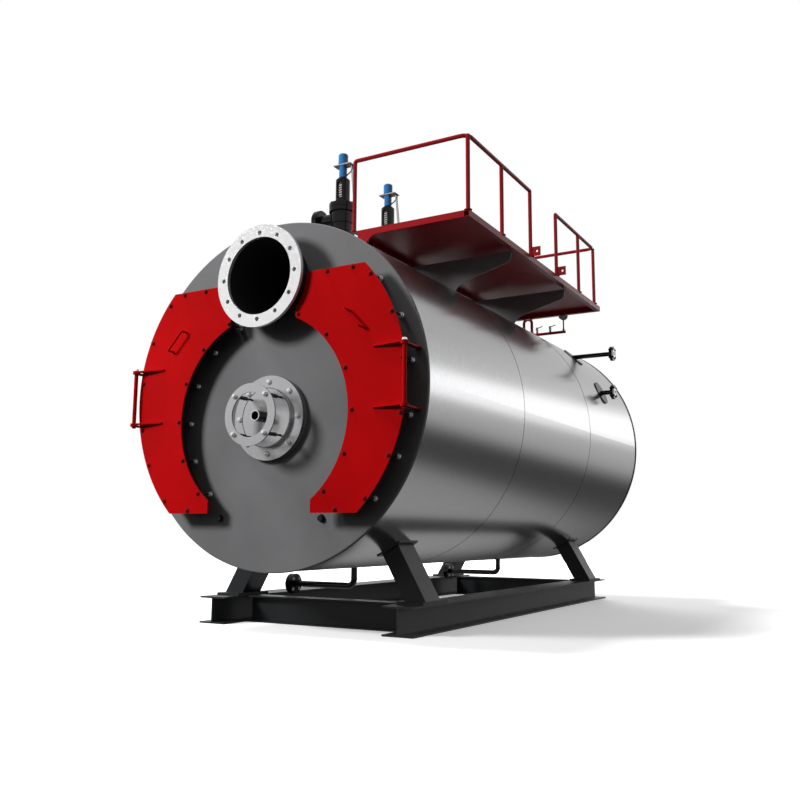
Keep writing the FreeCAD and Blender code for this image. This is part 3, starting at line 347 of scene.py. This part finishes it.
def clean_up(mesh):
    """Joins the mesh's doubled points and turns its faces outwards."""
    edited = bmesh.new()
    edited.from_mesh(mesh)
    bmesh.ops.remove_doubles(edited, verts=edited.verts, dist=1e-6)
    bmesh.ops.dissolve_degenerate(edited, dist=1e-7, edges=edited.edges)
    bmesh.ops.recalc_face_normals(edited, faces=edited.faces)
    edited.to_mesh(mesh)
    edited.free()


def circle(radius, count, start=0.0):
    """Evenly spread spots round a centre, the first one at the start angle in degrees."""
    turns = [math.radians(start) + math.tau * step / count for step in range(count)]
    return [(radius * math.cos(turn), radius * math.sin(turn)) for turn in turns]


def arc(radius, centre_rise, degrees):
    """Spots (x, rise) at the given angles on a circle whose centre is at x = 0."""
    turns = [math.radians(turn) for turn in degrees]
    return [(radius * math.cos(turn), centre_rise + radius * math.sin(turn)) for turn in turns]


def evenly(start, stop, steps):
    """Values from start to stop, in that many equal steps."""
    return [start + (stop - start) * step / steps for step in range(steps + 1)]


# ---------- places that several pieces share ----------

AXIS = middle("flue_end_plate").z
PLATE_FACE = low("flue_end_plate").y
JACKET_RADIUS = high("jacket_front").x
RELIEF = middle("relief_seat")
RELIEF_RISE = RELIEF.z - AXIS
DOOR_PLATE = 0.012
DOOR_GAP = 0.005
DOOR_BACK = low("smoke_box_frame_left").y - DOOR_GAP
DOOR_FRONT = DOOR_BACK - DOOR_PLATE


# ---------- flue end ----------

def door_bolt_spots():
    """Where the right door is bolted down, as (x, rise) from the barrel's centre line."""
    outer = arc(1.232, 0, (39, 23, 7, -11, -25, -41))
    inner = arc(0.814, RELIEF_RISE, (66, 44, 22, 0, -22, -44))
    ends = [(0.584, 0.846), (0.808, 0.846), (0.685, -0.884)]
    return outer + inner + ends


def add_door_bolts(side, sign):
    """Bolts on the door, and behind them the studs that stand in bright nuts on the end plate."""
    washer, stud_gap = 0.003, 0.008
    heads, shade_washers, studs, nuts = Shape(), Shape(), Shape(), Shape()
    for x, rise in door_bolt_spots():
        spot = Vector((sign * x, DOOR_FRONT, AXIS + rise))
        heads.hexagon(0.0125, 0.014, facing(FRONT, spot + FRONT * washer))
        # A black oxide washer under each head: its dark ring is the washer's own colour and also painted
        # shade round the head.
        shade_washers.ring(0.006, 0.0205, washer, facing(FRONT, spot), 24)
        foot = facing(FRONT, (spot.x, PLATE_FACE, spot.z))
        studs.rod(0.008, PLATE_FACE - DOOR_BACK - stud_gap, foot)
        nuts.hexagon(0.017, 0.03, foot)
    heads.piece(f"door_bolts_{side}", f"door_{side}", "door_red")
    shade_washers.piece(f"door_shade_washers_{side}", f"door_{side}", "dark_trim")
    studs.piece(f"door_studs_{side}", "boiler", "dark_trim")
    nuts.piece(f"door_stud_nuts_{side}", "boiler", "bright_flange", POLISHED_WITH_PAINTED_GLINT)


def add_hinge_trim(side):
    """A bright nut on the top of the long hinge pin."""
    hinge = next(joint for joint in frame["joints"] if joint["child"] == f"door_{side}")
    x, y, _ = hinge["pos_m"]
    nut = Shape()
    nut.hexagon(0.017, 0.016, facing(UP, (x, y, high(f"door_hinge_{side}").z)))
    nut.piece(f"hinge_nuts_{side}", "boiler", "bright_flange", POLISHED_WITH_PAINTED_GLINT)


def lining_outline(sign):
    """The part of a door's crescent that fits inside its frame, with room all round."""
    outer_radius, inner_radius = 1.132, 0.913
    top, bottom, edge = 0.741, 0.784, 0.437
    start = math.degrees(math.asin(top / outer_radius))
    stop = -math.degrees(math.asin(bottom / outer_radius))
    shape = arc(outer_radius, 0, evenly(start, stop, 30))
    start = -math.degrees(math.asin((bottom + RELIEF_RISE) / inner_radius))
    stop = math.degrees(math.acos(edge / inner_radius))
    shape += arc(inner_radius, RELIEF_RISE, evenly(start, stop, 24))
    shape.append((edge, top))
    return [(sign * x, AXIS + rise) for x, rise in shape]


def add_door_lining(side, sign):
    """The heat-resisting board on the door's back, which stands a little way into the box."""
    thickness = 0.022
    upright = Matrix(((1, 0, 0, 0), (0, 0, 1, 0), (0, 1, 0, 0), (0, 0, 0, 1)))
    board = Shape()
    board.slab(lining_outline(sign), thickness, Matrix.Translation((0, DOOR_BACK, 0)) @ upright)
    board.piece(f"door_lining_{side}", f"door_{side}", "smoke_box")


def add_tube_ends(side, sign):
    """The ends of the fire tubes in the end plate, seen when the door stands open."""
    pitch, radius, bore = 0.088, 0.03, 0.025
    box_radius, relief_radius, box_edge = 1.11, 0.935, 0.46
    rows, columns = 8, 14
    rims, shaded_bores = Shape(), Shape()
    for row in range(-rows, rows + 1):
        for column in range(columns):
            x = (column + row % 2 / 2) * pitch
            rise = row * pitch * math.sqrt(3) / 2
            past_box = x <= box_edge or math.hypot(x, rise) > box_radius
            if past_box or math.hypot(x, rise - RELIEF_RISE) < relief_radius:
                continue
            at = facing(FRONT, (sign * x, PLATE_FACE, AXIS + rise))
            rims.ring(bore, radius, 0.006, at, 20)
            # A thin black disc covers each bore: soot black for the tube's sooty inside, and painted
            # shade for the depth of the bore.
            shaded_bores.rod(bore, 0.001, at, 20)
    rims.piece(f"fire_tube_rims_{side}", "boiler", "smoke_box")
    shaded_bores.piece(f"fire_tube_shaded_bores_{side}", "boiler", "flue_inside")


def add_plate_trim():
    """Two black plugs low on the end plate, and the dark joint between the plate and the jacket."""
    plug_out, plug_drop = 0.477, 0.944
    plugs = Shape()
    for sign in SIDES.values():
        plugs.hexagon(0.024, 0.03, facing(FRONT, (sign * plug_out, PLATE_FACE, AXIS - plug_drop)))
    plugs.piece("plate_plugs", "boiler", "dark_trim")
    joint = Shape()
    at = facing(BACK, (0, low("jacket_front").y, AXIS))
    joint.ring(JACKET_RADIUS - 0.002, JACKET_RADIUS + 0.004, 0.005, at, 180)
    joint.piece("plate_joint", "boiler", "dark_trim")


def add_flue_trim():
    """A thin dark ring round each hole of the flue flange: painted shade at the hole's edge."""
    bolt_circle, holes = 0.338, 12
    face, centre = low("flue_flange").y, middle("flue_flange")
    hole_shade_rings = Shape()
    for x, z in circle(bolt_circle, holes):
        hole_shade_rings.ring(0.0118, 0.0165, 0.0008, facing(FRONT, (x, face, centre.z + z)), 24)
    hole_shade_rings.piece("flue_hole_shade_rings", "boiler", "flue_inside")


def in_front_of(node, back=0.0):
    """A frame on the relief door's centre line, at the node's face or some way behind it."""
    return facing(FRONT, (0, low(node).y + back, RELIEF.z))


def add_relief_trim():
    """Bright domed bolts on the relief door's seat and guard ring, and the dark or bright rims."""
    seat_circle, seat_bolts = 0.275, 8
    rod_circle, rods = 0.202, 4
    bolts = Shape()
    for x, z in circle(seat_circle, seat_bolts):
        bolts.domed(0.021, 0.02, facing(FRONT, (x, low("relief_seat").y, RELIEF.z + z)))
    for x, z in circle(rod_circle, rods, 45):
        bolts.domed(0.019, 0.026, facing(FRONT, (x, low("relief_guard_ring").y, RELIEF.z + z)))
    bolts.piece("relief_bolts", "boiler", "bright_flange", POLISHED_WITH_PAINTED_GLINT)
    gasket = Shape()
    seat = high("relief_seat").x
    gasket.ring(seat - 0.001, seat + 0.002, 0.006, in_front_of("relief_seat", 0.016), 96)
    gasket.piece("relief_gasket", "boiler", "dark_trim")
    # A thin dark ring stands on the disc near its edge: painted shade of a groove there.
    groove_shade = Shape()
    disc = high("relief_disc").x
    groove_shade.ring(disc - 0.006, disc - 0.002, 0.0015, in_front_of("relief_disc"), 96)
    groove_shade.piece("relief_disc_groove_shade", "relief_door", "dark_trim")
    peep = Shape()
    peep.ring(0.034, 0.040, 0.004, in_front_of("peep_tube"))
    peep.piece("peep_rim", "relief_door", "bright_flange")


# ---------- barrel ----------

def add_jacket_seams():
    """The dark lines where the jacket's courses meet, and one at the burner end."""
    width = 0.003
    seams = Shape()
    for y in (high("jacket_front").y, high("jacket_middle").y, high("jacket_rear").y - width):
        at = facing(BACK, (0, y, AXIS))
        seams.ring(JACKET_RADIUS - 0.002, JACKET_RADIUS + 0.0012, width, at, 240)
    seams.piece("jacket_seams", "boiler", "dark_trim")


def add_burner_bolts():
    """Hexagon bolts round the burner opening's cover."""
    edge, rise, count = 0.022, 0.02, 20
    cover, far = middle("burner_opening_cover"), high("burner_opening_cover")
    bolts = Shape()
    for x, z in circle(far.x - edge, count, 9):
        bolts.hexagon(0.013, 0.014, facing(BACK, (x, far.y - rise, cover.z + z)))
    bolts.piece("burner_cover_bolts", "boiler", "dark_trim")


# ---------- pipes ----------

def add_level_trim(level):
    """Four bolts through a level pipe's flange, and the bright raised face on its end, whose brightness
    is partly painted highlight.
    """
    bolt_circle, thickness = 0.062, 0.034
    pipe = f"level_pipe_{level}"
    end = Vector((high(pipe).x, middle(pipe).y, middle(pipe).z))
    bolts, face = Shape(), Shape()
    for y, z in circle(bolt_circle, 4, 45):
        spot = end + Vector((0, y, z))
        bolts.hexagon(0.011, 0.011, facing(RIGHT, spot))
        bolts.hexagon(0.011, 0.013, facing(-RIGHT, spot - RIGHT * thickness))
    bolts.piece(f"level_bolts_{level}", "boiler", "dark_trim")
    # The raised face is bright turned steel, and its bright ring is partly a painted highlight.
    face.ring(0.022, 0.046, 0.003, facing(RIGHT, end))
    face.piece(f"level_face_highlight_{level}", "boiler", "bright_flange")


def add_drain_bolts(end):
    """Four bolts on a blow-down pipe's flange."""
    flange_radius, bolt_circle, thickness = 0.087, 0.063, 0.056
    pipe = f"blow_down_pipe_{end}"
    centre = Vector((low(pipe).x, middle(pipe).y, low(pipe).z + flange_radius))
    bolts = Shape()
    for y, z in circle(bolt_circle, 4, 45):
        spot = centre + Vector((0, y, z))
        bolts.hexagon(0.011, 0.011, facing(-RIGHT, spot))
        bolts.hexagon(0.011, 0.011, facing(RIGHT, spot + RIGHT * thickness))
    bolts.piece(f"drain_bolts_{end}", "boiler", "bright_flange")


def add_gauge():
    """A round pressure gauge's bezel, pale dial, ticks and pointer, which face the flue end."""
    radius, dial_radius, dial_depth = 0.05, 0.042, 0.002
    gauge = "pressure_gauge"
    centre = Vector((middle(gauge).x, low(gauge).y, high(gauge).z - radius))
    at = facing(FRONT, centre)
    bezel, dial, marks = Shape(), Shape(), Shape()
    bezel.ring(dial_radius, radius, 0.007, at)
    bezel.piece("gauge_bezel", "boiler", "dark_trim")
    dial.rod(dial_radius, dial_depth, at, 48)
    dial.piece("gauge_dial", "boiler", "lever_grey")
    face = centre + FRONT * dial_depth
    for turn in range(-135, 136, 27):
        ray = Vector((math.sin(math.radians(turn)), 0, math.cos(math.radians(turn))))
        marks.tube([face + ray * 0.031, face + ray * 0.038], 0.0008, 6)
    tail, tip = Vector((0.008, -0.003, 0.008)), Vector((-0.024, -0.003, -0.022))
    marks.tube([centre + tail, centre + tip], 0.001, 6)
    marks.domed(0.004, 0.004, facing(FRONT, face))
    marks.piece("gauge_marks", "boiler", "dark_trim")


def add_cocks():
    """Small cocks on the header's first two stubs, each with a black lever."""
    stubs, stub_top = (0.467, 0.631), 3.138
    header = 3.678
    lever = [Vector((0, -0.024, 0.03)), Vector((0.02, -0.03, 0.034)), Vector((0.078, -0.03, 0.05))]
    bodies, levers = Shape(), Shape()
    for x in stubs:
        top = Vector((x, header, stub_top))
        bodies.rod(0.013, 0.05, facing(UP, top))
        bodies.hexagon(0.016, 0.014, facing(UP, top + UP * 0.012))
        bodies.domed(0.014, 0.03, facing(FRONT, top + UP * 0.03))
        levers.tube([top + bend for bend in lever], 0.005)
    bodies.piece("header_cocks", "boiler", "bright_flange")
    levers.piece("header_cock_levers", "boiler", "dark_trim")


# ---------- safety valves ----------

VALVE_X = -0.058
INLET_UNDER = 3.338
INLET_TOP = 3.393
OUTLET_HEIGHT = 3.518
BONNET_HEIGHT = 3.659
SPRING_FOOT = 3.703
SPRING_RISE = 0.158


def add_valve_bolts(end, stem, outlet):
    """Bolts round a safety valve's inlet flange and bonnet, and in a row across its outlet flange."""
    bolts = Shape()
    for x, y in circle(0.094, 8, 22.5):
        bolts.hexagon(0.010, 0.012, facing(UP, stem + Vector((x, y, INLET_TOP))))
        bolts.hexagon(0.010, 0.012, facing(-UP, stem + Vector((x, y, INLET_UNDER))))
    for y, _ in circle(0.1, 8, 22.5):
        spot = stem + Vector((outlet - stem.x, y, OUTLET_HEIGHT))
        bolts.hexagon(0.010, 0.012, facing(-RIGHT, spot))
    for x, y in circle(0.108, 6):
        bolts.hexagon(0.009, 0.011, facing(UP, stem + Vector((x, y, BONNET_HEIGHT))))
    bolts.piece(f"valve_bolts_{end}", "boiler", "pipe_black")


def add_valve_spring(end, stem):
    """The spring and the spindle that show in the bonnet's window."""
    radius, turns, steps = 0.038, 7, 20
    coil = []
    for step in range(turns * steps + 1):
        angle = math.tau * step / steps
        height = SPRING_FOOT + SPRING_RISE * step / (turns * steps)
        coil.append(stem + Vector((radius * math.cos(angle), radius * math.sin(angle), height)))
    spring = Shape()
    spring.tube(coil, 0.0065, 8)
    spring.rod(0.010, SPRING_RISE + 0.02, facing(UP, stem + UP * (SPRING_FOOT - 0.01)))
    spring.piece(f"valve_spring_{end}", "boiler", "lever_grey", POLISHED_WITH_PAINTED_GLINT)


def add_valve_strap(end, stem):
    """The bowed strap that guides the lever."""
    bow = 0.03
    start, stop = stem + Vector((0.098, 0, 4.02)), stem + Vector((0.040, 0, 3.93))
    path = []
    for share in (0, 0.2, 0.4, 0.6, 0.8, 1):
        path.append(start + (stop - start) * share + RIGHT * bow * math.sin(math.pi * share))
    strap = Shape()
    strap.tube(path, 0.006)
    strap.piece(f"valve_strap_{end}", "boiler", "pipe_black")


def add_valve_trim(end):
    """Everything that a safety valve has besides its own nodes."""
    valve = f"safety_valve_{end}"
    stem = Vector((VALVE_X, (low(valve).y + high(valve).y) / 2, 0))
    add_valve_bolts(end, stem, low(valve).x)
    add_valve_spring(end, stem)
    add_valve_strap(end, stem)


# ---------- platform ----------

def add_gusset_bolts(end):
    """Two rows of bolts under a gusset's cap, which hold the deck on it."""
    spots_across, from_web, cap = (0.42, 0.62, 0.82, 1.02), 0.019, 0.010
    gusset = f"deck_gusset_{end}"
    underside = high(gusset).z - cap
    bolts = Shape()
    for x in spots_across:
        for offset in (-from_web, from_web):
            bolts.hexagon(0.009, 0.010, facing(-UP, (x, middle(gusset).y + offset, underside)))
    bolts.piece(f"gusset_bolts_{end}", "boiler", "bright_flange")


def add_post_feet():
    """Round foot plates that the railing's posts are welded to."""
    outer_posts, outer_x = (0.126, 0.819, 1.502, 2.214, 2.920, 3.464), 1.238
    inner_posts, inner_x = (0.126, 3.464), 0.144
    feet = Shape()
    for posts, x in ((outer_posts, outer_x), (inner_posts, inner_x)):
        for y in posts:
            feet.ring(0.018, 0.034, 0.006, facing(UP, (x, y, high("deck_floor").z)), 24)
    feet.piece("post_feet", "boiler", "platform_red")


# ---------- stage, light and camera ----------

def add_floor():
    """A plain pale floor under the boiler. It catches shadows, and no surface mirrors it."""
    half = 60
    corners = [(-half, -half, 0), (half, -half, 0), (half, half, 0), (-half, half, 0)]
    mesh = bpy.data.meshes.new("floor")
    mesh.from_pydata(corners, [], [(0, 1, 2, 3)])
    floor = bpy.data.objects.new("floor", mesh)
    bpy.context.collection.objects.link(floor)
    white = Finish("floor white", (0.94, 0.94, 0.94), roughness=0.9)
    white.tint(white.noise(0.2, 2), (0.93, 0.93, 0.93), (0.95, 0.95, 0.95))
    white.shader.inputs["Specular IOR Level"].default_value = 0.0
    white.shader.inputs["Emission Color"].default_value = (1, 1, 1, 1)
    white.shader.inputs["Emission Strength"].default_value = 0.32
    mesh.materials.append(white.material)
    floor.visible_diffuse = False
    floor.visible_glossy = False


def add_light(kind, name, place, target, power, **settings):
    """A soft lamp that lights surfaces but shows neither to the camera nor in reflections."""
    data = bpy.data.lights.new(name, kind)
    data.energy = power
    for setting, value in settings.items():
        setattr(data, setting, value)
    light = bpy.data.objects.new(name, data)
    light.location = place
    light.rotation_euler = (Vector(target) - Vector(place)).to_track_quat("-Z", "Y").to_euler()
    light.visible_camera = False
    light.visible_glossy = False
    bpy.context.collection.objects.link(light)


# What the studio shows a mirror and a matt surface, as (degrees above the horizon, brightness).
MIRRORED = [
    (-90, 0.32), (-34, 0.34), (-21, 0.30), (-17, 0.06), (-8, 0.04), (-3, 0.42), (4.5, 0.52),
    (7, 1.45), (13, 1.45), (16, 0.66), (26, 0.5), (60, 0.55), (90, 0.6),
]
MATT = [(-90, 0.01), (-6, 0.01), (4, 0.07), (30, 0.18), (90, 0.42)]
# The bands are stored as shares of this brightness.
BRIGHTEST = 1.6
# How bright the mirrored studio is in front of the flue end, as a share of what it is elsewhere.
FRONT_SHARE = 0.6


class Studio(Nodes):
    """The world's node tree, where light depends on the direction it comes from."""

    def background(self, strength=1.0):
        made = self.node("Background")
        made.inputs["Color"].default_value = (1, 1, 1, 1)
        made.inputs["Strength"].default_value = strength
        return made

    def banded(self, rise, bands):
        """A background of soft horizontal bands. The rise goes from 0 straight down to 1 straight up."""
        stops = [((degrees + 90) / 180, (light / BRIGHTEST,) * 3) for degrees, light in bands]
        made = self.background(BRIGHTEST)
        self.join(self.ramp(rise, stops), made.inputs["Color"])
        return made

    def either(self, choice, no, yes):
        made = self.node("MixShader")
        self.join(choice, made.inputs["Fac"])
        self.join(no, made.inputs[1])
        self.join(yes, made.inputs[2])
        return made.outputs["Shader"]


def add_world():
    """A white background, and a studio of soft horizontal bands, dimmer in front of the flue end."""
    world = bpy.data.worlds.new("studio")
    world.use_nodes = True
    studio = Studio(world.node_tree)
    parts = studio.node("SeparateXYZ")
    studio.join(studio.node("TexCoord").outputs["Generated"], parts.inputs["Vector"])
    angle = studio.node("Math", operation="ARCSINE")
    studio.join(parts.outputs["Z"], angle.inputs[0])
    rise = studio.spread(angle.outputs["Value"], 0, 1, -math.pi / 2, math.pi / 2)
    mirrored = studio.banded(rise, MIRRORED)
    strength = studio.spread(parts.outputs["Y"], FRONT_SHARE * BRIGHTEST, BRIGHTEST, -0.35, 0.1)
    studio.join(strength, mirrored.inputs["Strength"])
    matt = studio.banded(rise, MATT)
    ray = studio.node("LightPath").outputs
    lit = studio.either(ray["Is Diffuse Ray"], mirrored.outputs[0], matt.outputs[0])
    seen = studio.either(ray["Is Camera Ray"], lit, studio.background().outputs[0])
    studio.join(seen, studio.tree.nodes["World Output"].inputs["Surface"])
    bpy.context.scene.world = world


def add_camera():
    """Low, in front of the flue end and to its right, looking slightly up."""
    spot = Vector((4.1203, -5.9869, 0.7604))
    yaw, pitch, roll = 0.5208, 0.1498, 0.0063
    ahead = Vector((-math.sin(yaw) * math.cos(pitch), math.cos(yaw) * math.cos(pitch), math.sin(pitch)))
    level = Vector((math.cos(yaw), math.sin(yaw), 0))
    upright = level.cross(ahead)
    right = math.cos(roll) * level + math.sin(roll) * upright
    up = math.cos(roll) * upright - math.sin(roll) * level
    data = bpy.data.cameras.new("camera")
    data.lens = 39.18
    data.sensor_width = 36
    camera = bpy.data.objects.new("camera", data)
    camera.matrix_world = Matrix((right, up, -ahead)).transposed().to_4x4()
    camera.location = spot
    bpy.context.collection.objects.link(camera)
    bpy.context.scene.camera = camera


finish_nodes()
for side, sign in SIDES.items():
    add_door_bolts(side, sign)
    add_hinge_trim(side)
    add_door_lining(side, sign)
    add_tube_ends(side, sign)
add_plate_trim()
add_flue_trim()
add_relief_trim()
add_jacket_seams()
add_burner_bolts()
for level in ("upper", "lower"):
    add_level_trim(level)
for end in ("front", "rear"):
    add_drain_bolts(end)
    add_valve_trim(end)
    add_gusset_bolts(end)
add_gauge()
add_cocks()
add_post_feet()

add_floor()
add_world()
add_light("AREA", "key", (-5.5, -8.0, 6.0), (0, -0.5, 1.8), 1080, size=2.2)
add_light("AREA", "rear fill", (-6.0, 15.0, 5.0), (0, 4.7, 1.6), 1700, size=5.0)
add_light("SUN", "overhead", (-5.5, -1.5, 10.0), (0, 0, 0), 2.6, angle=math.radians(14))
bpy.context.scene.view_settings.view_transform = "Standard"
add_camera()
